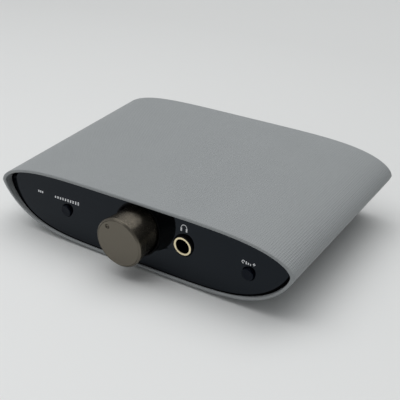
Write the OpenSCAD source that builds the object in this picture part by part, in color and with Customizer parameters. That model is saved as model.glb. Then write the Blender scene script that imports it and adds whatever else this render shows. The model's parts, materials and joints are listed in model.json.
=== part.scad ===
// Desktop headphone amplifier: a one-piece sleeve with a leaning front panel,
// a volume knob, two push buttons, a 6.35 mm headphone socket and a socket panel at the back.
// Millimetres. +X right as seen from the front, +Y to the back, +Z up.
// The origin is the centre of the bounding box at the level of the table.

/* [Sleeve] */
// Width of the sleeve over its two rounded side tips
body_w = 158; // [140:1:180]
// Depth of the sleeve, front edge to back edge
body_d = 98; // [90:1:120]
// Height of the crown above the side tips
crown_rise = 12.3; // [10:0.1:16]
// Drop of the underside below the side tips
belly_drop = 22; // [20:0.1:26]
// Exponent that flattens the crown
crown_flat = 4.8; // [3:0.1:6]
// Exponent that rounds the crown into the tips
crown_round = 0.55; // [0.5:0.01:0.8]
// Exponent that flattens the underside
belly_flat = 5.1; // [3:0.1:6]
// Exponent that slopes the underside into the tips
belly_round = 0.8; // [0.6:0.01:0.9]
// The same exponent for the inside, which fills the tips out more
belly_round_inside = 0.72; // [0.6:0.01:0.8]
// Wall thickness over the top and under the bottom
wall = 1.55; // [1.2:0.05:2]
// Wall thickness at the side tips
tip_wall = 1.9; // [1.5:0.05:2.5]
// Height of the rubber feet under the lowest line of the sleeve
foot_h = 1; // [0.8:0.1:3]
// Radius of a rubber foot
foot_r = 5; // [3:0.5:7]
// Distance of the feet from the middle
foot_x = 36; // [20:1:42]
// Distance of the feet from the front and back edges
foot_inset = 14; // [10:1:25]

/* [Front panel] */
// Depth of the panel's lower edge behind the front edge of the sleeve
panel_recess = 0.35; // [0.2:0.05:1.2]
// Backward lean of the panel
panel_tilt = 9.5; // [6:0.5:11]
// Thickness of the panel
panel_t = 2.5; // [2:0.1:3]
// Gap between a panel's edge and the sleeve
panel_gap = 0.3; // [0.2:0.05:0.5]

/* [Volume control] */
// Distance of the knob from the middle, negative to the left
knob_x = -0.4; // [-3:0.1:3]
// Height of the knob's axis and of the headphone socket above the board
axis_above_board = 6.05; // [6:0.05:6.5]
// Radius of the knob at its front rim
knob_rim_r = 11.9; // [11:0.1:13]
// Radius of the knob at the narrow end of its side
knob_back_r = 11; // [10.95:0.05:11.6]
// Distance of the knob's face in front of the sleeve
knob_out = 10.45; // [9.5:0.05:11]
// Length of the knob from its face to the end of its side
knob_len = 11.1; // [10.5:0.1:11.3]
// Radius of the neck that runs on into the well
neck_r = 10.9; // [10.5:0.1:11]
// Radius of the round well in the panel that the knob turns in
well_r = 12.4; // [12.3:0.1:13]
// Turn of the pointer dimple from the top at rest, positive to the left
pointer_turn = 36; // [0:1:120]
// Radius of the control's shaft
shaft_r = 3; // [3:0.1:3.2]

/* [Sockets] */
// Distance of the headphone socket from the middle
phones_x = 24.5; // [22:0.5:28]
// Radius of the headphone socket's bore
phones_r = 3.2; // [3.19:0.01:3.25]
// Distance of the 3.5 mm line socket from the middle
line_x = 28; // [24:0.5:32]
// Radius of the line socket's bore
line_r = 1.8; // [1.78:0.01:1.85]
// Distance of the power inlet from the middle
inlet_x = 50; // [46:0.5:52]
// Radius of the power inlet's bore
inlet_r = 2.8; // [2.75:0.05:2.9]
// Radius of the power inlet's centre pin
inlet_pin_r = 1.05; // [0.95:0.05:1.25]
// Distances of the two phono sockets from the middle
phono_x = [-33, -15];
// Radius of a phono socket's outer sleeve
phono_r = 4.15; // [4.1:0.05:4.2]
// Distance of the phono sockets behind the sleeve
phono_out = 8; // [7:0.5:9]

/* [Push buttons] */
// Distances of the two push buttons from the middle
button_x = [-41.2, 56.8];
// Height of the buttons above the board
button_above_board = 3.5; // [3.4:0.1:3.6]
// Radius of a button
button_r = 2.85; // [2.5:0.05:3]
// Distance of a button's face in front of the panel
button_out = 1.2; // [1:0.1:1.6]
// Travel of a button
button_travel = 1; // [0.8:0.1:1.2]

/* [Board] */
// Height of the board's upper face above the table
board_top = 12.75; // [12.5:0.05:13]
// Thickness of the board
board_t = 1.6; // [1.2:0.1:1.6]
// Width of the board
board_w = 128; // [124:1:129]

/* [Hidden] */
$fn = 48;
half_w = body_w / 2;
tip_z = foot_h + belly_drop;
floor_z = foot_h + wall;
front_y = (knob_out - body_d - phono_out) / 2;
outline_steps = 44;
slope = tan(panel_tilt);
panel_span = panel_t / cos(panel_tilt);
axis_z = board_top + axis_above_board;
button_z = board_top + button_above_board;
board_front = 9;
board_back = 92;
board_hole_r = 1.4;
rear_face = body_d - 1.7;
rear_t = 2;
rear_inner = rear_face - rear_t;
screw_r = 1.1;
screw_hole_r = 1.15;
bracket_x = [-56, 40];
bracket_depth = 14;
boss_x = 45;
boss_z = [6.7, 30];
boss_r = 2.7;
well_floor = 6.7;
well_t = 1;
well_wall = 0.6;
neck_end = 5.3;
knob_rim_depth = 1.3;
pot_front = 8.5;
pot_len = 10;
switch_front = 9;
switch_len = 7;
switch_half = 3.5;
phones_front = 7.8;
phones_back = 36;
phones_half = 8;
phones_z_top = axis_z + 6.2;
collar_r = 4.95;
ring_r = 4.45;
ring_t = 1;
phono_z = board_top + 6.5;
boss_out_r = 5.3;
phono_root = rear_face + 0.5;
phono_root_r = phono_r - 0.3;
inlet_root_r = inlet_pin_r - 0.25;
line_z = board_top + 3;
inlet_z = board_top + 5.8;
fit_gap = 0.02;
pin_w = 0.6;
pin_tail = 1.2;
pin_hole_r = 0.5;

// Depths of the headphone socket's contact windows, and the side each is on
contact_windows = [[11, -1], [18, 1], [25, -1], [31, 1]];

// Places of the solder pins on the board, as [x, depth]
pot_pin_places = [for (row = [0, 1]) for (i = [-1, 0, 1])
    [knob_x + 2.5 * i, pot_front + pot_len + 1 + 2.5 * row]];
jack_pin_places = [for (w = contact_windows) [phones_x + w[1] * (phones_half + 0.6), w[0] + 2]];
switch_pin_places = [for (x = button_x) for (s = [-1, 1]) for (i = [0:2])
    [x + s * (switch_half + 0.35), switch_front + 1.5 + 2 * i]];
phono_pin_places = [for (x = phono_x) [x, 81]];
line_pin_places = [for (s = [-1, 1]) for (d = [82, 88]) [line_x + s * 4.2, d + 1.5]];
inlet_pin_places = [for (s = [-1, 1]) [inlet_x + s * 5.2, 88]];

// ---- shared shapes ------------------------------------------------------

function crown(u, rise) = rise * pow(1 - pow(u, crown_flat), crown_round);
function belly(u, drop, inset) =
    drop * pow(1 - pow(u, belly_flat), inset > 0 ? belly_round_inside : belly_round);

// Closed section of the sleeve, or of anything a given distance inside it
function section(inset, tip_inset) = let (w = half_w - tip_inset, n = outline_steps) concat(
    [for (i = [0:n]) let (c = cos(180 * i / n)) [w * c, tip_z + crown(abs(c), crown_rise - inset)]],
    [for (i = [1:n - 1]) let (c = -cos(180 * i / n))
        [w * c, tip_z - belly(abs(c), belly_drop - inset, inset)]]);

// The section drawn out between two depths behind the front edge
module section_block(inset, tip_inset, d0, d1) {
    translate([0, front_y + d1, 0]) rotate([90, 0, 0])
        linear_extrude(d1 - d0) polygon(section(inset, tip_inset));
}

// Round bar along Y between two depths behind the front edge
module bar(r, x, z, d0, d1) {
    translate([x, front_y + d0, z]) rotate([-90, 0, 0]) cylinder(r = r, h = d1 - d0);
}

// Revolved profile about a line along Y; profile points are [radius, depth]
module turned(x, z, points) {
    translate([x, front_y, z]) rotate([-90, 0, 0]) rotate_extrude() polygon(points);
}

// Box centred on x, between two depths and two heights
module block(x, half, d0, d1, z0, z1) {
    translate([x - half, front_y + d0, z0]) cube([2 * half, d1 - d0, z1 - z0]);
}

// Upright round can on the board
module can(r, h, x, d) {
    translate([x, front_y + d, board_top]) cylinder(r = r, h = h);
}

// Depth of the panel's face at a height
function panel_depth(z) = panel_recess + (z - floor_z) * slope;

// Space between two planes parallel to the panel's face
module leaning_slab(d0, d1) {
    translate([0, front_y + panel_recess, floor_z]) rotate([-panel_tilt, 0, 0])
        translate([-half_w, d0, -belly_drop / 2]) cube([body_w, d1 - d0, 3 * belly_drop]);
}

// Cross-head screw along Y, its head towards the back
module screw_in_back(x, z, d_head, shank) {
    head_r = 2.2;
    head_h = 1.2;
    difference() {
        union() {
            bar(head_r, x, z, d_head, d_head + head_h);
            bar(screw_r, x, z, d_head - shank, d_head);
        }
        for (a = [0, 90]) translate([x, front_y + d_head + head_h, z]) rotate([0, a, 0])
            cube([0.5, 1.4, 2.4], center = true);
    }
}

// Square solder pins down through the board, one at each [x, depth]
module board_pins(places, z_top) {
    for (p = places) translate([p[0] - pin_w / 2, front_y + p[1] - pin_w / 2, board_top - board_t - pin_tail])
        cube([pin_w, pin_w, z_top - board_top + board_t + pin_tail]);
}

// ---- casing -------------------------------------------------------------

module board_rails() {
    rail_in = board_w / 2 - 3;
    intersection() {
        section_block(wall / 2, tip_wall / 2, 12, 90);
        for (s = [-1, 1]) for (z = [board_top - board_t - 2, board_top + 0.05])
            translate([s > 0 ? rail_in : -half_w, front_y + 12, z])
                cube([half_w - rail_in, 78, 1.95]);
    }
}

module outer_shell() color([0.6, 0.62, 0.63]) {
    boss_len = 12;
    difference() {
        union() {
            difference() {
                section_block(0, 0, 0, body_d);
                section_block(wall, tip_wall, -1, body_d + 1);
            }
            board_rails();
            for (x = [-boss_x, boss_x]) for (z = boss_z)
                bar(boss_r, x, z, rear_inner - boss_len, rear_inner - 0.05);
        }
        for (x = [-boss_x, boss_x]) for (z = boss_z)
            bar(screw_hole_r, x, z, rear_inner - boss_len + 2, rear_inner + 1);
    }
}

module front_panel() color([0.09, 0.1, 0.12]) {
    bracket_half = 4;
    bracket_front = 3.9;
    difference() {
        union() {
            intersection() {
                section_block(wall + panel_gap, tip_wall + panel_gap, -2, 14);
                leaning_slab(0, panel_t);
            }
            for (x = bracket_x) block(x, bracket_half, bracket_front, 20, board_top + 0.05, board_top + 6.8);
        }
        bar(well_r, knob_x, axis_z, -5, 12);
        bar(collar_r + 0.1, phones_x, axis_z, -5, phones_front);
        for (x = button_x) bar(button_r + 0.25, x, button_z, -5, 12);
        for (x = bracket_x) translate([x, front_y + bracket_depth, board_top - 1])
            cylinder(r = screw_hole_r, h = 6.5);
    }
}

module rear_panel() color([0.1, 0.1, 0.11]) {
    difference() {
        section_block(wall + panel_gap, tip_wall + panel_gap, rear_inner, rear_face);
        for (x = [-boss_x, boss_x]) for (z = boss_z) bar(1.5, x, z, rear_inner - 1, body_d);
        for (x = phono_x) bar(boss_out_r + 0.2, x, phono_z, rear_inner - 1, body_d);
        bar(1.5, (phono_x[0] + phono_x[1]) / 2, phono_z, rear_inner - 1, body_d);
        bar(3.15, line_x, line_z, rear_inner - 1, body_d);
        bar(4.05, inlet_x, inlet_z, rear_inner - 1, body_d);
    }
}

module rubber_feet() color([0.08, 0.08, 0.08]) {
    difference() {
        for (x = [-foot_x, foot_x]) for (d = [foot_inset, body_d - foot_inset])
            translate([x, front_y + d, 0]) cylinder(r = foot_r, h = foot_h + 2);
        section_block(0, 0, 0, body_d);
    }
}

module rear_panel_screws() color("dimgray") {
    for (x = [-boss_x, boss_x]) for (z = boss_z) screw_in_back(x, z, rear_face, 9);
}

module bracket_screws() color("dimgray") {
    head_h = 1.2;
    for (x = bracket_x) translate([x, front_y + bracket_depth, 0]) {
        translate([0, 0, board_top - board_t - head_h]) difference() {
            cylinder(r = 2.2, h = head_h);
            for (a = [0, 90]) rotate(a) cube([2.4, 0.5, 1.4], center = true);
        }
        translate([0, 0, board_top - board_t]) cylinder(r = screw_r, h = 6.5);
    }
}

// ---- volume control -----------------------------------------------------

module knob_well() color([0.04, 0.04, 0.045]) {
    outer = well_r - fit_gap;
    inner = well_r - well_wall;
    intersection() {
        turned(knob_x, axis_z, [[outer, 0], [outer, well_floor + well_t],
            [shaft_r + 1.1, well_floor + well_t], [shaft_r + 1.1, well_floor],
            [inner, well_floor], [inner, 0]]);
        leaning_slab(0, 12);
    }
}

// Radius of the flared knob at a distance behind its face
function flare_r(f) = knob_back_r
    + (knob_rim_r - knob_back_r) * pow((knob_len - f) / (knob_len - knob_rim_depth), 1.6);

module volume_knob() color([0.42, 0.38, 0.33]) {
    face_r = knob_rim_r - 0.7;
    cavity_r = 9;
    cavity_front = 3.5;
    side = [for (i = [0:10]) let (f = knob_rim_depth + (knob_len - knob_rim_depth) * i / 10)
        [flare_r(f), f - knob_out]];
    dimple_at = 8.8;
    difference() {
        turned(knob_x, axis_z, concat(
            [[0, -knob_out], [face_r, -knob_out], [knob_rim_r, 0.55 - knob_out]],
            side,
            [[neck_r, knob_len - knob_out], [neck_r, neck_end], [cavity_r, neck_end],
             [cavity_r, cavity_front - knob_out], [0, cavity_front - knob_out]]));
        translate([knob_x, 0, axis_z]) rotate([0, -pointer_turn, 0])
            translate([0, front_y - knob_out - 0.9, dimple_at]) sphere(r = 1.5);
    }
}

// Shaft outline with its flat
module flatted_bar(r, d0, d1) {
    difference() {
        bar(r, knob_x, axis_z, d0, d1);
        block(knob_x, r + 1, d0 - 1, d1 + 1, axis_z - r - 1, axis_z - r + 1.5);
    }
}

module knob_hub() color([0.12, 0.12, 0.12]) {
    web_front = 3.55 - knob_out;
    difference() {
        union() {
            bar(9 - fit_gap, knob_x, axis_z, web_front, web_front + 1.6);
            bar(5, knob_x, axis_z, web_front + 1.6, neck_end - 0.3);
        }
        flatted_bar(shaft_r + fit_gap, web_front + 1, knob_len);
    }
}

module pot_shaft() color("silver") {
    flatted_bar(shaft_r, -4.9, 6);
    bar(shaft_r, knob_x, axis_z, 6, pot_front + 1.6);
    bar(1.9, knob_x, axis_z, pot_front + 1.6, pot_front + pot_len - 1.2);
}

module pot_rotors() color([0.85, 0.83, 0.75]) {
    for (d = [pot_front + 2.4, pot_front + 6.4]) difference() {
        union() {
            bar(3.8, knob_x, axis_z, d, d + 0.9);
            translate([knob_x - 0.5, front_y + d + 0.9, axis_z + 2.4]) cube([1, 0.4, 1.2]);
        }
        bar(1.9 + fit_gap, knob_x, axis_z, d - 1, d + 2);
    }
}

module pot_body() color([0.2, 0.35, 0.3]) {
    difference() {
        union() {
            block(knob_x, 4.9, pot_front, pot_front + pot_len - 0.8, board_top, axis_z + 5.5);
            bar(3.9, knob_x, axis_z, pot_front - 1.2, pot_front);
        }
        bar(shaft_r + 0.05, knob_x, axis_z, pot_front - 2, pot_front + 1.7);
        bar(4.3, knob_x, axis_z, pot_front + 1.7, pot_front + pot_len);
    }
}

module pot_back_plate() color("silver") {
    block(knob_x, 4.9, pot_front + pot_len - 0.8, pot_front + pot_len, board_top + 0.5, axis_z + 5.5);
}

module pot_tracks() color([0.35, 0.2, 0.1]) {
    for (d = [pot_front + 3.9, pot_front + 7.9]) difference() {
        bar(4.28, knob_x, axis_z, d, d + 0.5);
        bar(2.1, knob_x, axis_z, d - 1, d + 1);
    }
}

module pot_pins() color("gold") {
    for (row = [0, 1]) {
        lead_z = board_top + 0.7 + 0.6 * row;
        places = [for (i = [0:2]) pot_pin_places[3 * row + i]];
        board_pins(places, lead_z + 0.3);
        for (p = places) block(p[0], pin_w / 2, pot_front + pot_len, p[1], lead_z, lead_z + 0.3);
    }
}

// ---- headphone socket ---------------------------------------------------

socket_face = panel_depth(axis_z) - 1;

module phones_jack_body() color([0.11, 0.11, 0.12]) {
    difference() {
        block(phones_x, phones_half, phones_front, phones_back, board_top, phones_z_top);
        bar(phones_r, phones_x, axis_z, phones_front - 1, phones_back - 1.5);
        for (w = contact_windows)
            translate([phones_x + (w[1] > 0 ? 0 : -phones_half + 1), front_y + w[0], axis_z - 1.1])
                cube([phones_half - 1, 4, 2.2]);
    }
}

module phones_jack_collar() color([0.05, 0.05, 0.05]) {
    turned(phones_x, axis_z, [[phones_r, phones_front], [collar_r, phones_front],
        [collar_r, socket_face + 0.3], [collar_r - 0.3, socket_face], [ring_r, socket_face],
        [ring_r, socket_face + ring_t], [phones_r, socket_face + ring_t]]);
}

module phones_jack_ring() color([0.85, 0.7, 0.35]) {
    edge = 0.15;
    outer = ring_r - fit_gap;
    turned(phones_x, axis_z, [[phones_r, socket_face + ring_t], [outer, socket_face + ring_t],
        [outer, socket_face - edge + 0.2], [outer - 0.35, socket_face - edge],
        [phones_r + 0.3, socket_face - edge], [phones_r, socket_face - edge + 0.3]]);
}

module phones_jack_contacts() color([0.8, 0.7, 0.4]) {
    strip = 0.3;
    for (w = contact_windows) translate([phones_x, front_y + w[0] + 0.3, axis_z - 0.9])
        linear_extrude(1.8) mirror([w[1] > 0 ? 0 : 1, 0]) polygon([
            [phones_half - 1.2, 0], [phones_half - 1.2, 3.2], [phones_half - 1.2 - strip, 3.2],
            [phones_half - 1.2 - strip, 0.9], [phones_r + 0.2 + strip, 2.2], [phones_r + 0.2, 1.9],
            [phones_half - 1.2 - strip, 0]]);
    board_pins(jack_pin_places, axis_z - 2);
}

// ---- push buttons -------------------------------------------------------

button_face = panel_depth(button_z) - button_out;
stem_end = switch_front + 4;

module push_button(x) {
    edge = 0.35;
    flange = 6.8;
    turned(x, button_z, [[0, button_face], [button_r - edge, button_face],
        [button_r - edge * 0.3, button_face + edge * 0.3], [button_r, button_face + edge],
        [button_r, flange], [3.6, flange], [3.6, flange + 0.8], [1.4, flange + 0.8],
        [1.4, stem_end], [0, stem_end]]);
}

module push_switch(x) {
    difference() {
        block(x, switch_half, switch_front, switch_front + switch_len, board_top, button_z + switch_half);
        bar(1.5, x, button_z, switch_front - 1, switch_front + switch_len - 0.5);
    }
}

// Round wire wound into a coil about a line along Y
module coil(x, z, coil_r, wire_r, turns, d0, d1) {
    sides = 6;
    per_turn = 10;
    n = turns * per_turn;
    points = [for (i = [0:n]) for (k = [0:sides - 1]) let (a = 360 * i / per_turn, b = 360 * k / sides,
        r = coil_r + wire_r * cos(b))
        [x + r * cos(a), front_y + d0 + wire_r + (d1 - d0 - 2 * wire_r) * i / n + wire_r * sin(b),
         z + r * sin(a)]];
    faces = concat(
        [for (i = [0:n - 1]) for (k = [0:sides - 1]) let (p = i * sides, q = (k + 1) % sides)
            [p + k, p + sides + k, p + sides + q, p + q]],
        [[for (k = [0:sides - 1]) k]], [[for (k = [sides - 1:-1:0]) n * sides + k]]);
    polyhedron(points, faces);
}

module gain_button() color([0.07, 0.07, 0.08]) push_button(button_x[0]);

module bass_button() color([0.07, 0.07, 0.08]) push_button(button_x[1]);

module gain_switch() color([0.15, 0.15, 0.16]) push_switch(button_x[0]);

module bass_switch() color([0.15, 0.15, 0.16]) push_switch(button_x[1]);

module gain_spring() color("silver")
    coil(button_x[0], button_z, 1.05, 0.18, 2, stem_end + 0.03, switch_front + switch_len - 0.53);

module bass_spring() color("silver")
    coil(button_x[1], button_z, 1.05, 0.18, 2, stem_end + 0.03, switch_front + switch_len - 0.53);

module switch_pins() color("silver") board_pins(switch_pin_places, board_top + 1.2);

// ---- board --------------------------------------------------------------

module main_board() color([0.05, 0.3, 0.2]) {
    difference() {
        block(0, board_w / 2, board_front, board_back, board_top - board_t, board_top);
        for (x = bracket_x) translate([x, front_y + bracket_depth, 0]) cylinder(r = board_hole_r, h = 20);
        for (p = concat(pot_pin_places, jack_pin_places, switch_pin_places, phono_pin_places,
            line_pin_places, inlet_pin_places)) translate([p[0], front_y + p[1], 0])
            cylinder(r = pin_hole_r, h = 20);
    }
}

// ---- back sockets -------------------------------------------------------

module phono_block() color([0.1, 0.1, 0.1]) {
    mid = (phono_x[0] + phono_x[1]) / 2;
    difference() {
        union() {
            block(mid, 15.5, 82, rear_inner, board_top, phono_z + 6.2);
            for (x = phono_x) bar(boss_out_r, x, phono_z, rear_inner, phono_root);
        }
        for (x = phono_x) bar(phono_root_r + fit_gap, x, phono_z, 85, body_d);
        bar(screw_hole_r, mid, phono_z, 86, body_d);
    }
}

module phono_sleeves() color([0.85, 0.72, 0.4]) {
    inner = phono_r - 0.75;
    end = body_d + phono_out;
    for (x = phono_x) turned(x, phono_z, [[inner, 85.1], [phono_root_r, 85.1], [phono_root_r, phono_root],
        [phono_r, phono_root], [phono_r, end - 0.4], [phono_r - 0.3, end], [inner, end]]);
}

module phono_insulator(x) {
    outer = phono_r - 0.75 - fit_gap;
    end = body_d + phono_out - 0.4;
    turned(x, phono_z, [[2.22, 86], [outer, 86], [outer, end], [1.75, end], [1.65, end - 0.3],
        [1.65, end - 0.8], [2.22, end - 0.8]]);
}

module phono_insulator_left() color([0.9, 0.9, 0.88]) phono_insulator(phono_x[0]);

module phono_insulator_right() color([0.75, 0.1, 0.1]) phono_insulator(phono_x[1]);

module phono_contacts() color([0.85, 0.72, 0.4]) {
    for (x = phono_x) turned(x, phono_z, [[0, 86], [2.2, 86], [2.2, body_d + phono_out - 1.3],
        [1.6, body_d + phono_out - 1.3], [1.6, 90], [0, 90]]);
    board_pins(phono_pin_places, board_top + 2);
}

module phono_screw() color("dimgray")
    screw_in_back((phono_x[0] + phono_x[1]) / 2, phono_z, rear_face, 9);

module line_jack_body() color([0.1, 0.1, 0.1]) {
    difference() {
        union() {
            block(line_x, 3.4, 80, rear_inner - 0.1, board_top, line_z + 3.2);
            bar(3, line_x, line_z, rear_inner - 0.1, rear_face + 0.3);
        }
        bar(line_r, line_x, line_z, 82.5, body_d);
    }
}

module line_jack_contacts() color([0.8, 0.7, 0.4]) {
    for (s = [-1, 1]) for (d = [82, 88])
        block(line_x + s * 3.65, 0.2, d, d + 3, board_top + 0.3, line_z + 1.5);
    board_pins(line_pin_places, board_top + 1.5);
}

module inlet_body() color([0.08, 0.08, 0.08]) {
    difference() {
        union() {
            block(inlet_x, 4.6, 82, rear_inner - 0.1, board_top, inlet_z + 4.7);
            bar(3.9, inlet_x, inlet_z, rear_inner - 0.1, rear_face);
        }
        bar(inlet_r, inlet_x, inlet_z, 86.5, body_d);
        bar(inlet_root_r + fit_gap, inlet_x, inlet_z, 81, 88);
    }
}

module inlet_centre_pin() color("silver") {
    turned(inlet_x, inlet_z, [[0, 82], [inlet_root_r, 82], [inlet_root_r, 86.5],
        [inlet_pin_r, 86.5], [inlet_pin_r, rear_face - 1.3],
        [inlet_pin_r - 0.3, rear_face - 0.9], [0, rear_face - 0.9]]);
}

module inlet_contacts() color("silver") {
    block(inlet_x, 1.2, 81.5, 82, board_top + 0.3, inlet_z + 1.5);
    board_pins(inlet_pin_places, board_top + 2.5);
}

// ---- components on the board --------------------------------------------

module filter_capacitors() color([0.12, 0.16, 0.3]) {
    for (x = [-52, -40, 42]) for (d = [62, 74]) can(5, 13, x, d);
    for (x = [-24, -14, -4, 6]) can(4, 10.5, x, 30);
}

module film_capacitors() color([0.75, 0.2, 0.15]) {
    for (x = [-28, -18, 2, 12]) for (d = [44, 70]) block(x, 3.6, d, d + 4.5, board_top, board_top + 8);
}

module amplifier_chips() color([0.1, 0.1, 0.1]) {
    for (x = [-24, -8, 8]) block(x, 2.5, 54, 58, board_top + 0.1, board_top + 1.7);
    for (x = [-24, -8, 8]) for (s = [-1, 1]) for (i = [0:3])
        block(x - 1.9 + 1.27 * i, 0.2, 56 + s * 3 - 1, 56 + s * 3 + 1, board_top, board_top + 0.5);
}

module mute_relays() color([0.88, 0.88, 0.85]) {
    for (x = [24, 36]) block(x, 4.5, 41, 55, board_top, board_top + 10);
}

module power_inductors() color([0.2, 0.2, 0.22]) {
    for (d = [40, 52]) difference() {
        can(4.5, 5, 56, d);
        translate([56, front_y + d, board_top + 1]) difference() {
            cylinder(r = 6, h = 3);
            cylinder(r = 3.4, h = 3);
        }
    }
}

module voltage_regulators() color([0.12, 0.12, 0.12]) {
    for (x = [24, 34]) {
        block(x, 3.3, 66, 69.5, board_top + 0.1, board_top + 1.8);
        for (i = [-1, 0, 1]) block(x + 2.3 * i, 0.4, 64.4, 66, board_top, board_top + 0.4);
        block(x, 1.5, 69.5, 71, board_top, board_top + 0.4);
    }
}

module chip_resistors() color([0.3, 0.3, 0.32]) {
    for (i = [0:7]) for (d = [49.8, 61.5, 64.5])
        block(-27 + 5 * i, 0.8, d, d + 0.9, board_top, board_top + 0.5);
}

outer_shell();
front_panel();
rear_panel();
rubber_feet();
rear_panel_screws();
bracket_screws();
knob_well();
volume_knob();
knob_hub();
pot_shaft();
pot_rotors();
pot_body();
pot_back_plate();
pot_tracks();
pot_pins();
phones_jack_body();
phones_jack_collar();
phones_jack_ring();
phones_jack_contacts();
gain_button();
bass_button();
gain_switch();
bass_switch();
gain_spring();
bass_spring();
switch_pins();
main_board();
phono_block();
phono_sleeves();
phono_insulator_left();
phono_insulator_right();
phono_contacts();
phono_screw();
line_jack_body();
line_jack_contacts();
inlet_body();
inlet_centre_pin();
inlet_contacts();
filter_capacitors();
film_capacitors();
amplifier_chips();
mute_relays();
power_inductors();
voltage_regulators();
chip_resistors();
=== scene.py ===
"""Looks of the desktop headphone amplifier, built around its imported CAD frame."""
import json
import math

import bmesh
import bpy
from mathutils import Matrix, Vector


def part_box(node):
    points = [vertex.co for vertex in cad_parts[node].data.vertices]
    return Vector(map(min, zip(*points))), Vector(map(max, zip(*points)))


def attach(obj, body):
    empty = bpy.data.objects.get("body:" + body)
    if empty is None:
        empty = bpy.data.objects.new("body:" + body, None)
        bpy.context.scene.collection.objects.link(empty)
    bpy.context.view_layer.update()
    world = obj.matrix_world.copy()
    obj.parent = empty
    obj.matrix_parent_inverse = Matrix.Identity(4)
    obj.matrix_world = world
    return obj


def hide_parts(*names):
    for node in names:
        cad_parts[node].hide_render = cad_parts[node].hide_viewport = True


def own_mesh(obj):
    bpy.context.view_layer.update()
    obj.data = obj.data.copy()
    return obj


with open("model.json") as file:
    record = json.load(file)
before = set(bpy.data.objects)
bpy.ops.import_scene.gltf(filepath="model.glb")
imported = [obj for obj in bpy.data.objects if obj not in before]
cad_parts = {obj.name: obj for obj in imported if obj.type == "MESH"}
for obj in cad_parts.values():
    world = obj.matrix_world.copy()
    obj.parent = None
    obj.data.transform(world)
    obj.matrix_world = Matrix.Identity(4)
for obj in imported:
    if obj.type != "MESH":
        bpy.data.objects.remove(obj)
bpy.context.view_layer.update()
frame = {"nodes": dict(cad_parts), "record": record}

MM = 0.001
scene = bpy.context.scene

# ---- sizes in metres: boxes come from the frame, the rest match part.scad

SHELL_LOW, SHELL_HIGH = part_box("outer_shell")
HALF_W = SHELL_HIGH.x
FRONT = SHELL_LOW.y
BACK = SHELL_HIGH.y
CROWN_RISE = 12.3 * MM
BELLY_DROP = 22 * MM
TIP_Z = SHELL_HIGH.z - CROWN_RISE
CROWN_FLAT, CROWN_ROUND = 4.8, 0.55
BELLY_FLAT, BELLY_ROUND, BELLY_ROUND_INSIDE = 5.1, 0.8, 0.72
EDGE_LEAST, EDGE_FLAT = 0.5, 6  # rounding of the sleeve's edge, seen only in the looks
WALL = 1.55 * MM
TIP_WALL = 1.9 * MM
PANEL_TILT = math.radians(9.5)
PANEL_RECESS = 0.35 * MM
PANEL_GAP = 0.3 * MM
FLOOR_Z = TIP_Z - BELLY_DROP + WALL


def centre(node_name):
    """Middle of a CAD node's box."""
    low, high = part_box(node_name)
    return (low + high) / 2


KNOB = centre("volume_knob")
KNOB_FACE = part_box("volume_knob")[0].y
RING = centre("phones_jack_ring")
RING_LOW, RING_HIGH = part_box("phones_jack_ring")
BUTTONS = {"gain_button": centre("gain_button"), "bass_button": centre("bass_button")}
POINTER_TURN = math.radians(36)
DIMPLE_PITCH, DIMPLE_DEPTH = 1.05 * MM, 0.16 * MM
GROOVE_PITCH, GROOVE_DEPTH = 0.17 * MM, 0.0135 * MM
ON_AXIS = 1e-9  # a smaller radius counts as none


def panel_depth(z):
    """Y of the panel's face at a height."""
    return FRONT + PANEL_RECESS + (z - FLOOR_Z) * math.tan(PANEL_TILT)


# ---- materials ----------------------------------------------------------


def shader(name, colour, rough, metal=0.0, **extra):
    """A new material with its even values set on the shader's own sockets."""
    m = bpy.data.materials.new(name)
    m.use_nodes = True
    b = m.node_tree.nodes["Principled BSDF"]
    b.inputs["Base Color"].default_value = (*colour, 1)
    b.inputs["Roughness"].default_value = rough
    b.inputs["Metallic"].default_value = metal
    for key, value in extra.items():
        b.inputs[key.replace("_", " ")].default_value = value
    return m, m.node_tree, b


def node(tree, kind, **values):
    """A new node with its settings."""
    n = tree.nodes.new(kind)
    for key, value in values.items():
        setattr(n, key, value)
    return n


def object_noise(tree, scale, detail):
    """A noise texture in object coordinates, with scale in features a metre."""
    place = node(tree, "ShaderNodeTexCoord")
    noise = node(tree, "ShaderNodeTexNoise")
    noise.inputs["Scale"].default_value = scale
    noise.inputs["Detail"].default_value = detail
    tree.links.new(place.outputs["Object"], noise.inputs["Vector"])
    return noise.outputs["Fac"]


def spread(tree, fac, low, high, start=0.0, end=1.0):
    """Maps a value that goes from start to end to one that goes from low to high."""
    m = node(tree, "ShaderNodeMapRange")
    m.inputs["From Min"].default_value = start
    m.inputs["From Max"].default_value = end
    m.inputs["To Min"].default_value = low
    m.inputs["To Max"].default_value = high
    tree.links.new(fac, m.inputs["Value"])
    return m.outputs["Result"]


def position(tree, kind, axis):
    """One coordinate of a Texture Coordinate output."""
    place = node(tree, "ShaderNodeTexCoord")
    split = node(tree, "ShaderNodeSeparateXYZ")
    tree.links.new(place.outputs[kind], split.inputs[0])
    return split.outputs[axis]


def maths(tree, operation, *values):
    """Result of a math node. Each value is a number or another node's output."""
    n = node(tree, "ShaderNodeMath", operation=operation)
    for socket, value in zip(n.inputs, values):
        if isinstance(value, (int, float)):
            socket.default_value = value
        else:
            tree.links.new(value, socket)
    return n.outputs[0]


def wave(tree, along, pitch):
    """Sine of a coordinate, with one wave to each pitch."""
    return maths(tree, "SINE", maths(tree, "MULTIPLY", along, 2 * math.pi / pitch))


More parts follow.
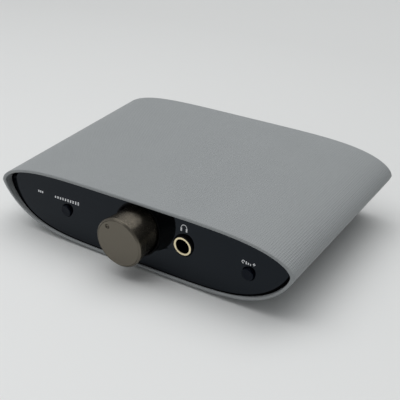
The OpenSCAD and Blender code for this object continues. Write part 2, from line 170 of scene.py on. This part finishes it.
def bump(tree, b, height, distance, strength, under=None):
    """Bump from a height of 0 to 1, on top of another bump's normal if there is one."""
    n = node(tree, "ShaderNodeBump")
    n.inputs["Distance"].default_value = distance
    n.inputs["Strength"].default_value = strength
    tree.links.new(height, n.inputs["Height"])
    if under is not None:
        tree.links.new(under, n.inputs["Normal"])
    tree.links.new(n.outputs["Normal"], b.inputs["Normal"])
    return n.outputs["Normal"]


def tint(tree, b, fac, first, second):
    """Base colour that wanders between two colours."""
    mix = node(tree, "ShaderNodeMix", data_type="RGBA")
    mix.inputs[6].default_value = (*first, 1)
    mix.inputs[7].default_value = (*second, 1)
    tree.links.new(fac, mix.inputs["Factor"])
    tree.links.new(mix.outputs[2], b.inputs["Base Color"])


def dimples(tree, pitch):
    """Square grid of shallow dimples, 0 to 1: the product of two raised waves of the UV map."""
    uv = node(tree, "ShaderNodeUVMap", uv_map="skin")
    split = node(tree, "ShaderNodeSeparateXYZ")
    tree.links.new(uv.outputs["UV"], split.inputs[0])
    waves = [maths(tree, "MULTIPLY_ADD", wave(tree, split.outputs[axis], pitch), 0.5, 0.5)
             for axis in ("X", "Y")]
    return maths(tree, "MULTIPLY", *waves)


def shell_plastic():
    """Satin grey plastic, faintly clouded, with a grid of fine dimples."""
    m, tree, b = shader("shell_plastic", (0.3, 0.315, 0.325), 0.5)
    cloud = object_noise(tree, 45, 2)
    tint(tree, b, cloud, (0.272, 0.288, 0.294), (0.296, 0.312, 0.318))
    bump(tree, b, dimples(tree, DIMPLE_PITCH), DIMPLE_DEPTH, 1.0)
    return m


def gloss_panel():
    """Polished black acrylic with the faint haze that handling leaves."""
    m, tree, b = shader("panel_gloss", (0.0006, 0.0009, 0.0015), 0.04, IOR=1.34,
                        Specular_Tint=(0.7, 0.83, 1.0, 1))
    tree.links.new(spread(tree, object_noise(tree, 90, 6), 0.025, 0.07), b.inputs["Roughness"])
    return m


def knob_metal():
    """Anodised metal. Fine grooves round the axis spread its highlights along the knob."""
    m, tree, b = shader("knob_metal", (0.142, 0.128, 0.104), 0.3, 1.0)
    grain = object_noise(tree, 2600, 2)
    tree.links.new(spread(tree, grain, 0.22, 0.3), b.inputs["Roughness"])
    grooves = wave(tree, position(tree, "Object", "Y"), GROOVE_PITCH)
    fine = bump(tree, b, grain, 0.004 * MM, 0.5)
    bump(tree, b, grooves, GROOVE_DEPTH, 1.0, fine)
    return m


def gold():
    """Gold plating, slightly uneven in colour and shine."""
    m, tree, b = shader("gold_plate", (0.95, 0.84, 0.56), 0.2, 1.0)
    grain = object_noise(tree, 1500, 3)
    tint(tree, b, grain, (0.92, 0.8, 0.52), (0.98, 0.87, 0.6))
    tree.links.new(spread(tree, grain, 0.12, 0.2), b.inputs["Roughness"])
    return m


def ink(name, colour, rough, **extra):
    """Printed ink with the fine texture that the screen leaves. Also used for the painted shade
    round the panel.
    """
    m, tree, b = shader(name, colour, rough, **extra)
    grain = object_noise(tree, 3000, 2)
    tree.links.new(spread(tree, grain, rough * 0.85, min(1, rough * 1.15)),
                   b.inputs["Roughness"])
    bump(tree, b, grain, 0.003 * MM, 0.5)
    return m


def moulded(name, colour, rough, grain=1400, depth=0.006, **extra):
    """Plain moulded plastic with a fine spark-eroded grain."""
    m, tree, b = shader(name, colour, rough, **extra)
    bump(tree, b, object_noise(tree, grain, 3), depth * MM, 0.6)
    return m


def rubber():
    """Matt black rubber of the feet."""
    m, tree, b = shader("foot_rubber", (0.02, 0.02, 0.02), 0.75)
    bump(tree, b, object_noise(tree, 2500, 2), 0.01 * MM, 0.8)
    return m


def plain_metal(name, colour, rough):
    """Metal whose shine varies a little."""
    m, tree, b = shader(name, colour, rough, 1.0)
    grain = object_noise(tree, 1800, 2)
    tree.links.new(spread(tree, grain, rough * 0.8, rough * 1.3), b.inputs["Roughness"])
    return m


def board_mask():
    """Green solder mask of the main board."""
    m, tree, b = shader("board_laminate", (0.012, 0.09, 0.045), 0.35)
    tint(tree, b, object_noise(tree, 260, 1), (0.01, 0.075, 0.036), (0.016, 0.11, 0.055))
    return m


MATERIALS = {
    "shell_plastic": shell_plastic(),
    "panel_gloss": gloss_panel(),
    "rear_plastic": moulded("rear_plastic", (0.014, 0.014, 0.016), 0.45),
    "foot_rubber": rubber(),
    "screw_steel": plain_metal("screw_steel", (0.1, 0.1, 0.105), 0.35),
    "knob_metal": knob_metal(),
    "black_plastic": moulded("black_plastic", (0.003, 0.003, 0.004), 0.55, IOR=1.22),
    "shaft_metal": plain_metal("shaft_metal", (0.62, 0.62, 0.63), 0.25),
    "white_plastic": moulded("white_plastic", (0.78, 0.78, 0.74), 0.4),
    "red_plastic": moulded("red_plastic", (0.5, 0.02, 0.02), 0.4),
    "pot_plastic": moulded("pot_plastic", (0.03, 0.11, 0.09), 0.5),
    "track_plastic": moulded("track_plastic", (0.09, 0.045, 0.02), 0.5),
    "gold_plate": gold(),
    "button_plastic": moulded("button_plastic", (0.002, 0.003, 0.007), 0.25, 900, 0.002, IOR=1.22,
                              Specular_Tint=(0.7, 0.85, 1.0, 1)),
    "spring_steel": plain_metal("spring_steel", (0.6, 0.6, 0.6), 0.2),
    "board_laminate": board_mask(),
    "can_sleeve": moulded("can_sleeve", (0.02, 0.04, 0.12), 0.25),
    "film_red": moulded("film_red", (0.45, 0.03, 0.02), 0.3),
    "relay_plastic": moulded("relay_plastic", (0.7, 0.7, 0.67), 0.45),
    "ferrite": moulded("ferrite", (0.05, 0.05, 0.055), 0.6),
}
WHITE_INK = ink("white_ink", (0.85, 0.86, 0.88), 0.5)
# painted shade: a matt black that stands in for the shadowed gap round the panel's edge
GAP_SHADE_INK = ink("painted_gap_shade", (0.0006, 0.0006, 0.0012), 0.8, IOR=1.1)

SLOTS = {entry["node"]: entry["material_slot"] for entry in frame["record"]["subparts"]}
for node_name, slot_name in SLOTS.items():
    data = frame["nodes"][node_name].data
    data.materials.clear()
    data.materials.append(MATERIALS[slot_name])


# ---- mesh helpers -------------------------------------------------------


def new_piece(name, verts, faces, material, body, node_names=(), smooth=True):
    """A piece that rides on a body, and stands for the CAD nodes it names."""
    mesh = bpy.data.meshes.new(name)
    mesh.from_pydata([tuple(v) for v in verts], [], faces)
    mesh.validate()
    obj = bpy.data.objects.new(name, mesh)
    scene.collection.objects.link(obj)
    mesh.materials.append(material)
    if smooth:
        mesh.shade_smooth()
    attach(obj, body)
    if node_names:
        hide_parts(*node_names)
    return obj


def recalc(obj, weld=0.0):
    """Turns every face outwards, after joining points closer than the weld distance."""
    bm = bmesh.new()
    bm.from_mesh(obj.data)
    if weld:
        bmesh.ops.remove_doubles(bm, verts=bm.verts, dist=weld)
    bmesh.ops.recalc_face_normals(bm, faces=bm.faces)
    bm.to_mesh(obj.data)
    bm.free()


def smooth_by_angle(obj, degrees):
    """Smooth shading with sharp edges where faces meet at more than an angle."""
    bm = bmesh.new()
    bm.from_mesh(obj.data)
    for e in bm.edges:
        if len(e.link_faces) == 2:
            e.smooth = e.calc_face_angle(0) < math.radians(degrees)
    for f in bm.faces:
        f.smooth = True
    bm.to_mesh(obj.data)
    bm.free()


def lathe(profile, x, z, sides):
    """Surface turned about a line along Y. Profile points are (radius, y). Radius 0 closes it."""
    verts, rings = [], []
    for r, y in profile:
        if r < ON_AXIS:
            rings.append([len(verts)])
            verts.append((x, y, z))
        else:
            rings.append(list(range(len(verts), len(verts) + sides)))
            for i in range(sides):
                a = 2 * math.pi * i / sides
                verts.append((x + r * math.sin(a), y, z + r * math.cos(a)))
    faces = []
    for a, b in zip(rings, rings[1:]):
        for i in range(sides):
            j = (i + 1) % sides
            if len(a) == 1 and len(b) == 1:
                continue
            if len(a) == 1:
                faces.append((a[0], b[i], b[j]))
            elif len(b) == 1:
                faces.append((a[i], b[0], a[j]))
            else:
                faces.append((a[i], b[i], b[j], a[j]))
    return verts, faces


def corner(at, before, after, radius, steps=5):
    """Points of a rounded corner at a profile point, between its two neighbours."""
    p, q, r = Vector(at), Vector(before), Vector(after)
    to_q, to_r = (q - p).normalized(), (r - p).normalized()
    half = to_q.angle(to_r) / 2
    cut = radius / math.tan(half)
    middle = p + (to_q + to_r).normalized() * (radius / math.sin(half))
    first, last = p + to_q * cut - middle, p + to_r * cut - middle
    turn = first.angle_signed(last)
    points = []
    for i in range(steps + 1):
        a = turn * i / steps
        c, s = math.cos(-a), math.sin(-a)
        points.append(middle + Vector((first.x * c - first.y * s, first.x * s + first.y * c)))
    return points


def rounded(points, radii, closed=False):
    """A profile with each corner rounded by its own radius; 0 keeps it sharp."""
    out = []
    n = len(points)
    for i, (p, r) in enumerate(zip(points, radii)):
        if r <= 0 or (not closed and i in (0, n - 1)):
            out.append(Vector(p))
        else:
            out.extend(corner(p, points[i - 1], points[(i + 1) % n], r))
    return out


# ---- the sleeve ---------------------------------------------------------


def section_point(t, inset, tip_inset):
    """Point of the sleeve's section at angle t, a distance inside its outer skin."""
    c = math.cos(t)
    u = abs(c)
    x = (HALF_W - tip_inset) * c
    if math.sin(t) >= 0:
        z = (CROWN_RISE - inset) * max(0, 1 - u ** CROWN_FLAT) ** CROWN_ROUND
    else:
        power = BELLY_ROUND_INSIDE if inset > 0 else BELLY_ROUND
        z = -(BELLY_DROP - inset) * max(0, 1 - u ** BELLY_FLAT) ** power
    return Vector((x, 0, TIP_Z + z))


def edge_share(t):
    """Size of the outer edge's rounding at angle t, as a share of its greatest, on the crown."""
    crown = max(0, math.sin(t)) * max(0, 1 - abs(math.cos(t)) ** EDGE_FLAT)
    return EDGE_LEAST + (1 - EDGE_LEAST) * crown


def build_sleeve():
    """One closed loop carried round the section, with rounded edges and a UV map in metres."""
    around, steps = 360, 6
    edge, edge_depth, inner_edge = 1.0 * MM, 0.5 * MM, 0.3 * MM
    outer_rows, inner_rows = (24 * MM, 4 * MM, 1.2 * MM), (1.2 * MM, 8 * MM)
    quarter = [math.pi / 2 * i / steps for i in range(steps + 1)]
    # Each row: end of the sleeve, depth from it, share of the way through the wall, rounding
    # that is added to that share, and whether the row follows the edge's changing size
    loop = []
    for y0, way in ((FRONT, 1), (BACK, -1)):
        side = [(y0, way * d, 0.0, 0.0, False) for d in outer_rows]
        for a in quarter:
            depth = way * edge_depth * (1 - math.sin(a))
            side.append((y0, depth, 0.0, edge / WALL * (1 - math.cos(a)), True))
        for a in quarter:
            depth = way * inner_edge * (1 - math.cos(a))
            side.append((y0, depth, 1 - inner_edge / WALL * (1 - math.sin(a)), 0.0, False))
        side.extend((y0, way * d, 1.0, 0.0, False) for d in inner_rows)
        loop.extend(side if way > 0 else reversed(side))
    verts, uvs = [], []
    run = 0.0
    last = None
    for i in range(around + 1):
        t = 2 * math.pi * i / around
        outer = section_point(t, 0, 0)
        inner = section_point(t, WALL, TIP_WALL)
        if last is not None:
            run += (outer - last).length
        last = outer
        share = edge_share(t)
        for y0, depth, through, rounding, follows in loop:
            y = y0 + (depth * share if follows else depth)
            p = outer.lerp(inner, through + rounding * share)
            verts.append(Vector((p.x, y, p.z)))
            uvs.append((run, y))
    n = len(loop)
    seam = around * n
    faces, face_uvs = [], []
    for i in range(around):
        for k in range(n):
            a, b = i * n + k, i * n + (k + 1) % n
            c, d = (i + 1) * n + (k + 1) % n, (i + 1) * n + k
            face_uvs.append([uvs[a], uvs[b], uvs[c], uvs[d]])
            faces.append(tuple(v % seam for v in (a, b, c, d)))
    obj = new_piece("sleeve", verts[:seam], faces, MATERIALS["shell_plastic"], "chassis",
                    ["outer_shell"])
    layer = obj.data.uv_layers.new(name="skin")
    for poly, corners in zip(obj.data.polygons, face_uvs):
        for loop_index, uv in zip(poly.loop_indices, corners):
            layer.data[loop_index].uv = uv
    recalc(obj)


# ---- pieces copied from the frame and given rounded edges ---------------


def bevelled_copy(node_name, name, body, width):
    """A copy of a CAD node's mesh with its sharp edges rounded."""
    same_point, flat_angle, sharp_angle = 1e-6, math.radians(0.6), math.radians(40)
    source = frame["nodes"][node_name]
    mesh = source.data.copy()
    mesh.name = name
    obj = bpy.data.objects.new(name, mesh)
    scene.collection.objects.link(obj)
    bm = bmesh.new()
    bm.from_mesh(mesh)
    bmesh.ops.remove_doubles(bm, verts=bm.verts, dist=same_point)
    bmesh.ops.dissolve_limit(bm, angle_limit=flat_angle, verts=bm.verts, edges=bm.edges)
    for f in bm.faces:
        f.smooth = len(f.verts) == 4
    bm.to_mesh(mesh)
    bm.free()
    mod = obj.modifiers.new("edges", "BEVEL")
    mod.width = width
    mod.segments = 3
    mod.limit_method = "ANGLE"
    mod.angle_limit = sharp_angle
    mod.harden_normals = True
    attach(obj, body)
    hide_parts(node_name)


# ---- knob ---------------------------------------------------------------


def build_knob():
    """The flared knob, with a fine ring cut in its face and a dimple for a pointer."""
    rim_r, back_r, neck_r, cavity_r = 11.9 * MM, 11.0 * MM, 10.9 * MM, 9 * MM
    length, rim, flare, rows = 11.1 * MM, 1.3 * MM, 1.6, 24
    side = []
    for i in range(rows + 1):
        f = rim + (length - rim) * i / rows
        r = back_r + (rim_r - back_r) * ((length - f) / (length - rim)) ** flare
        side.append(Vector((r, KNOB_FACE + f)))
    ring_inner, ring_r, ring_outer, ring_depth = 10.85 * MM, 10.97 * MM, 11.09 * MM, 0.14 * MM
    chamfer_r, chamfer = 11.2 * MM, 0.6 * MM
    front = rounded([(0, KNOB_FACE), (ring_inner, KNOB_FACE), (ring_r, KNOB_FACE + ring_depth),
                     (ring_outer, KNOB_FACE), (chamfer_r, KNOB_FACE),
                     (rim_r, KNOB_FACE + chamfer), (rim_r, KNOB_FACE + rim)],
                    [0, 0, 0, 0, 0.06 * MM, 0.25 * MM, 0])
    neck_end, cavity_y = FRONT + 5.3 * MM, KNOB_FACE + 3.6 * MM
    tail = [Vector(p) for p in ((neck_r, KNOB_FACE + length), (neck_r, neck_end),
                                (cavity_r, neck_end), (cavity_r, cavity_y), (0, cavity_y))]
    verts, faces = lathe(front[:-1] + side + tail, KNOB.x, KNOB.z, 192)
    obj = new_piece("knob", verts, faces, MATERIALS["knob_metal"], "volume_control",
                    ["volume_knob"])
    recalc(obj)
    pointer_r, dimple_r, dimple_lift = 8.8 * MM, 1.2 * MM, 0.25 * MM
    at = Vector((KNOB.x - pointer_r * math.sin(POINTER_TURN), KNOB_FACE - dimple_lift,
                 KNOB.z + pointer_r * math.cos(POINTER_TURN)))
    bpy.ops.mesh.primitive_uv_sphere_add(segments=48, ring_count=24, radius=dimple_r,
                                         location=at)
    cutter = bpy.context.object
    cut = obj.modifiers.new("dimple", "BOOLEAN")
    cut.operation = "DIFFERENCE"
    cut.object = cutter
    cut.solver = "EXACT"
    bpy.context.view_layer.objects.active = obj
    bpy.ops.object.modifier_apply(modifier="dimple")
    bpy.data.objects.remove(cutter)
    smooth_by_angle(obj, 28)


# ---- buttons, springs and socket ring -----------------------------------


def build_button(node_name, body):
    """Push button with a dished face, a flange that keeps it in, and the stem of its switch."""
    low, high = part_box(node_name)
    at = (low + high) / 2
    r, flange_r, stem_r = 2.85 * MM, 3.6 * MM, 1.4 * MM
    flange = FRONT + 6.8 * MM
    flange_back = flange + 0.8 * MM
    outline = rounded([(0, low.y), (r, low.y), (r, flange), (flange_r, flange),
                       (flange_r, flange_back), (stem_r, flange_back), (stem_r, high.y),
                       (0, high.y)], [0, 0.35 * MM, 0, 0.1 * MM, 0.1 * MM, 0, 0.1 * MM, 0])
    dish, dish_halfway = 0.12 * MM, 0.09 * MM
    dished = [Vector((0, low.y + dish)), Vector((r * 0.5, low.y + dish_halfway))]
    verts, faces = lathe(dished + outline[1:], at.x, at.z, 96)
    obj = new_piece(node_name + "_cap", verts, faces, MATERIALS["button_plastic"], body,
                    [node_name])
    recalc(obj)
    smooth_by_angle(obj, 35)


def build_spring(node_name):
    """Return spring of a push switch."""
    low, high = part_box(node_name)
    at = (low + high) / 2
    wire_r, sides, turns, per_turn = 0.18 * MM, 10, 2, 40
    coil_r = (high.x - low.x) / 2 - wire_r
    steps = turns * per_turn
    verts, faces = [], []
    for i in range(steps + 1):
        a = 2 * math.pi * i / per_turn
        y = low.y + wire_r + (high.y - low.y - 2 * wire_r) * i / steps
        for k in range(sides):
            b = 2 * math.pi * k / sides
            r = coil_r + wire_r * math.cos(b)
            verts.append((at.x + r * math.cos(a), y + wire_r * math.sin(b),
                          at.z + r * math.sin(a)))
    for i in range(steps):
        for k in range(sides):
            p, q = i * sides, (k + 1) % sides
            faces.append((p + k, p + sides + k, p + sides + q, p + q))
    faces.append(tuple(range(sides)))
    faces.append(tuple(range(len(verts) - 1, len(verts) - 1 - sides, -1)))
    obj = new_piece(node_name + "_wire", verts, faces, MATERIALS["spring_steel"], "chassis",
                    [node_name])
    recalc(obj)
    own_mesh(obj)


def build_ring():
    """Gold ring of the headphone socket, chamfered on both its edges."""
    inner, outer = 3.2 * MM, 4.43 * MM
    inner_chamfer, outer_chamfer, outer_depth = 0.35 * MM, 0.3 * MM, 0.02 * MM
    front, back = RING_LOW.y, RING_HIGH.y
    outline = rounded([(inner, back), (outer, back), (outer, front + outer_depth),
                       (outer - outer_chamfer, front), (inner + inner_chamfer, front),
                       (inner, front + inner_chamfer)],
                      [0, 0, 0.12 * MM, 0.1 * MM, 0.12 * MM, 0.1 * MM], closed=True)
    outline.append(outline[0])
    verts, faces = lathe(outline, RING.x, RING.z, 128)
    obj = new_piece("socket_ring", verts, faces, MATERIALS["gold_plate"], "chassis",
                    ["phones_jack_ring"])
    recalc(obj, weld=1e-7)
    smooth_by_angle(obj, 40)


# ---- printed marks, and painted shade round the panel -------------------


def panel_mark(name, outlines):
    """Flat printed shapes on the leaning panel. Outlines are lists of (x, z) in metres."""
    lift = 0.03 * MM
    verts, faces = [], []
    for outline in outlines:
        start = len(verts)
        for x, z in outline:
            verts.append((x, panel_depth(z) - lift, z))
        faces.append(tuple(range(start, len(verts))))
    new_piece(name, verts, faces, WHITE_INK, "chassis", smooth=False)


def bar_outline(x0, x1, z0, z1):
    """Upright rectangle."""
    return [(x0, z0), (x1, z0), (x1, z1), (x0, z1)]


def arc_band(x, z, r0, r1, a0, a1, steps=20):
    """Band between two radii, angles in degrees from +X."""
    turns = [math.radians(a0 + (a1 - a0) * i / steps) for i in range(steps + 1)]
    outer = [(x + r1 * math.cos(a), z + r1 * math.sin(a)) for a in turns]
    inner = [(x + r0 * math.cos(a), z + r0 * math.sin(a)) for a in turns]
    return outer + inner[::-1]


def build_painted_gap_shade():
    """Painted shade: a matt black band round the edge of the glossy panel, wide at the two tips,
    standing in for the shadowed gap between the panel and the sleeve.
    """
    around, lift = 240, 0.02 * MM
    edge, width, tip_width = 0.02 * MM, 0.5 * MM, 1.4 * MM
    verts = []
    for i in range(around):
        t = 2 * math.pi * i / around
        for inset, tip_inset in ((edge, edge), (width, tip_width)):
            p = section_point(t, WALL + PANEL_GAP + inset, TIP_WALL + PANEL_GAP + tip_inset)
            verts.append((p.x, panel_depth(p.z) - lift, p.z))
    n = 2 * around
    faces = [(2 * i, 2 * i + 1, (2 * i + 3) % n, (2 * i + 2) % n) for i in range(around)]
    new_piece("panel_painted_gap_shade", verts, faces, GAP_SHADE_INK, "chassis", smooth=False)


def build_marks():
    """Generic marks: a headphone symbol, ten ticks, three bars, and falling bars with a plus."""
    x, z = RING.x - 0.3 * MM, RING.z + 7.8 * MM
    cup_in, cup_out, cup_drop = 0.95 * MM, 1.75 * MM, 1.5 * MM
    panel_mark("mark_headphones", [
        arc_band(x, z, 1.3 * MM, 1.65 * MM, 0, 180),
        bar_outline(x - cup_out, x - cup_in, z - cup_drop, z),
        bar_outline(x + cup_in, x + cup_out, z - cup_drop, z)])
    left = BUTTONS["gain_button"]
    tick_step, tick_width = 1.55 * MM, 0.75 * MM
    ticks = []
    for i in range(10):
        tall = (1.0 + 0.06 * i) * MM
        x0, z0 = left.x - 7.6 * MM + tick_step * i, left.z + 4.2 * MM
        ticks.append(bar_outline(x0, x0 + tick_width, z0, z0 + tall))
    panel_mark("mark_gain", ticks)
    bar_step, bar_width, bar_tall = 1.2 * MM, 0.8 * MM, 1.0 * MM
    x0, z0 = left.x - 18.2 * MM, left.z + 4.3 * MM
    panel_mark("mark_input", [
        bar_outline(x0 + bar_step * i, x0 + bar_step * i + bar_width, z0, z0 + bar_tall)
        for i in range(3)])
    right = BUTTONS["bass_button"]
    thin_bar = 0.5 * MM
    x0, z0 = right.x - 3.6 * MM, right.z + 3.8 * MM
    panel_mark("mark_bass", [
        arc_band(x0 + 0.7 * MM, z0 + 0.75 * MM, 0.45 * MM, 0.75 * MM, 0, 300),
        *(bar_outline(x0 + at, x0 + at + thin_bar, z0, z0 + tall)
          for at, tall in ((1.9 * MM, 1.3 * MM), (2.9 * MM, 1.0 * MM), (3.9 * MM, 0.7 * MM))),
        bar_outline(x0 + 5.2 * MM, x0 + 6.4 * MM, z0 + 0.68 * MM, z0 + 1.12 * MM),
        bar_outline(x0 + 5.58 * MM, x0 + 6.02 * MM, z0 + 0.3 * MM, z0 + 1.5 * MM)])


build_sleeve()
build_knob()
build_button("gain_button", "gain_push")
build_button("bass_button", "bass_push")
build_spring("gain_spring")
build_spring("bass_spring")
build_ring()
build_painted_gap_shade()
build_marks()
bevelled_copy("front_panel", "fascia", "chassis", 0.15 * MM)
bevelled_copy("rear_panel", "socket_panel", "chassis", 0.2 * MM)
# Widths in mm
for name, width in (("rubber_feet", 0.35), ("phones_jack_collar", 0.1), ("knob_well", 0.06),
                    ("phono_sleeves", 0.1), ("phono_insulator_left", 0.1),
                    ("phono_insulator_right", 0.1), ("line_jack_body", 0.12), ("inlet_body", 0.12),
                    ("rear_panel_screws", 0.1), ("phono_screw", 0.1)):
    bevelled_copy(name, name + "_eased", "chassis", width * MM)

# ---- floor, light and camera --------------------------------------------


def build_floor():
    """A plain sheet that curves up far behind the object. Its colour is painted shade, darker
    towards the back where the light falls off.
    """
    half, rise, near, far, bend, steps = 3.0, 2.5, -2.0, 2.2, 0.8, 12
    rows = [(near, 0.0), (far - bend, 0.0)]
    for i in range(1, steps + 1):
        a = math.pi / 2 * i / steps
        rows.append((far - bend + bend * math.sin(a), bend * (1 - math.cos(a))))
    rows.append((far, rise))
    verts = [(x, y, z) for y, z in rows for x in (-half, half)]
    faces = [(2 * i, 2 * i + 1, 2 * i + 3, 2 * i + 2) for i in range(len(rows) - 1)]
    mesh = bpy.data.meshes.new("floor")
    mesh.from_pydata(verts, [], faces)
    mesh.shade_smooth()
    floor = bpy.data.objects.new("floor", mesh)
    scene.collection.objects.link(floor)
    paper_painted_falloff, tree, b = shader("paper_painted_falloff", (0.73, 0.737, 0.732), 0.9)
    # painted shade: the colour darkens from front to back to stand in for the light falling off
    # across the floor
    depth = spread(tree, position(tree, "Object", "Y"), 0.0, 1.0, start=-0.15, end=0.25)
    tint(tree, b, depth, (0.8, 0.808, 0.803), (0.66, 0.667, 0.662))
    mesh.materials.append(paper_painted_falloff)


def area_light(name, at, aim, size, power):
    """A white rectangular light that points at aim."""
    data = bpy.data.lights.new(name, "AREA")
    data.shape = "RECTANGLE"
    data.size, data.size_y = size
    data.energy = power
    obj = bpy.data.objects.new(name, data)
    obj.location = at
    obj.rotation_mode = "QUATERNION"
    obj.rotation_quaternion = (Vector(aim) - Vector(at)).to_track_quat("-Z", "Y")
    scene.collection.objects.link(obj)


def build_light():
    """A room brighter to the left and behind, with one large soft box almost overhead."""
    world = bpy.data.worlds.new("room")
    world.use_nodes = True
    tree = world.node_tree
    sky = tree.nodes["Background"]
    sky.inputs["Color"].default_value = (0.97, 0.985, 1.0, 1)
    across = spread(tree, position(tree, "Generated", "X"), 0.52, 0.24, start=-1)
    along = spread(tree, position(tree, "Generated", "Y"), 0.85, 1.22, start=-1)
    tree.links.new(maths(tree, "MULTIPLY", across, along), sky.inputs["Strength"])
    scene.world = world
    area_light("key", (-0.1, 0.12, 0.93), (0, 0, 0), (1.5, 0.9), 8.3)


def build_camera():
    """The photograph's viewpoint: direction, distance and a slight roll."""
    azimuth, elevation = math.radians(34.478), math.radians(30.275)
    roll = math.radians(-1.856)
    distance = 0.39935
    aim = Vector((1.5, 2.225, 10.72)) * MM
    back = Vector((math.sin(azimuth) * math.cos(elevation),
                   -math.cos(azimuth) * math.cos(elevation), math.sin(elevation)))
    right = Vector((math.cos(azimuth), math.sin(azimuth), 0))
    up = back.cross(right)
    turned_right = right * math.cos(roll) + up * math.sin(roll)
    turned_up = -right * math.sin(roll) + up * math.cos(roll)
    data = bpy.data.cameras.new("camera")
    data.lens = 74.1
    data.sensor_width = 36
    cam = bpy.data.objects.new("camera", data)
    cam.matrix_world = Matrix.Translation(aim + back * distance) @ Matrix(
        (turned_right, turned_up, back)).transposed().to_4x4()
    scene.collection.objects.link(cam)
    scene.camera = cam


build_floor()
build_light()
build_camera()
scene.view_settings.view_transform = "Standard"
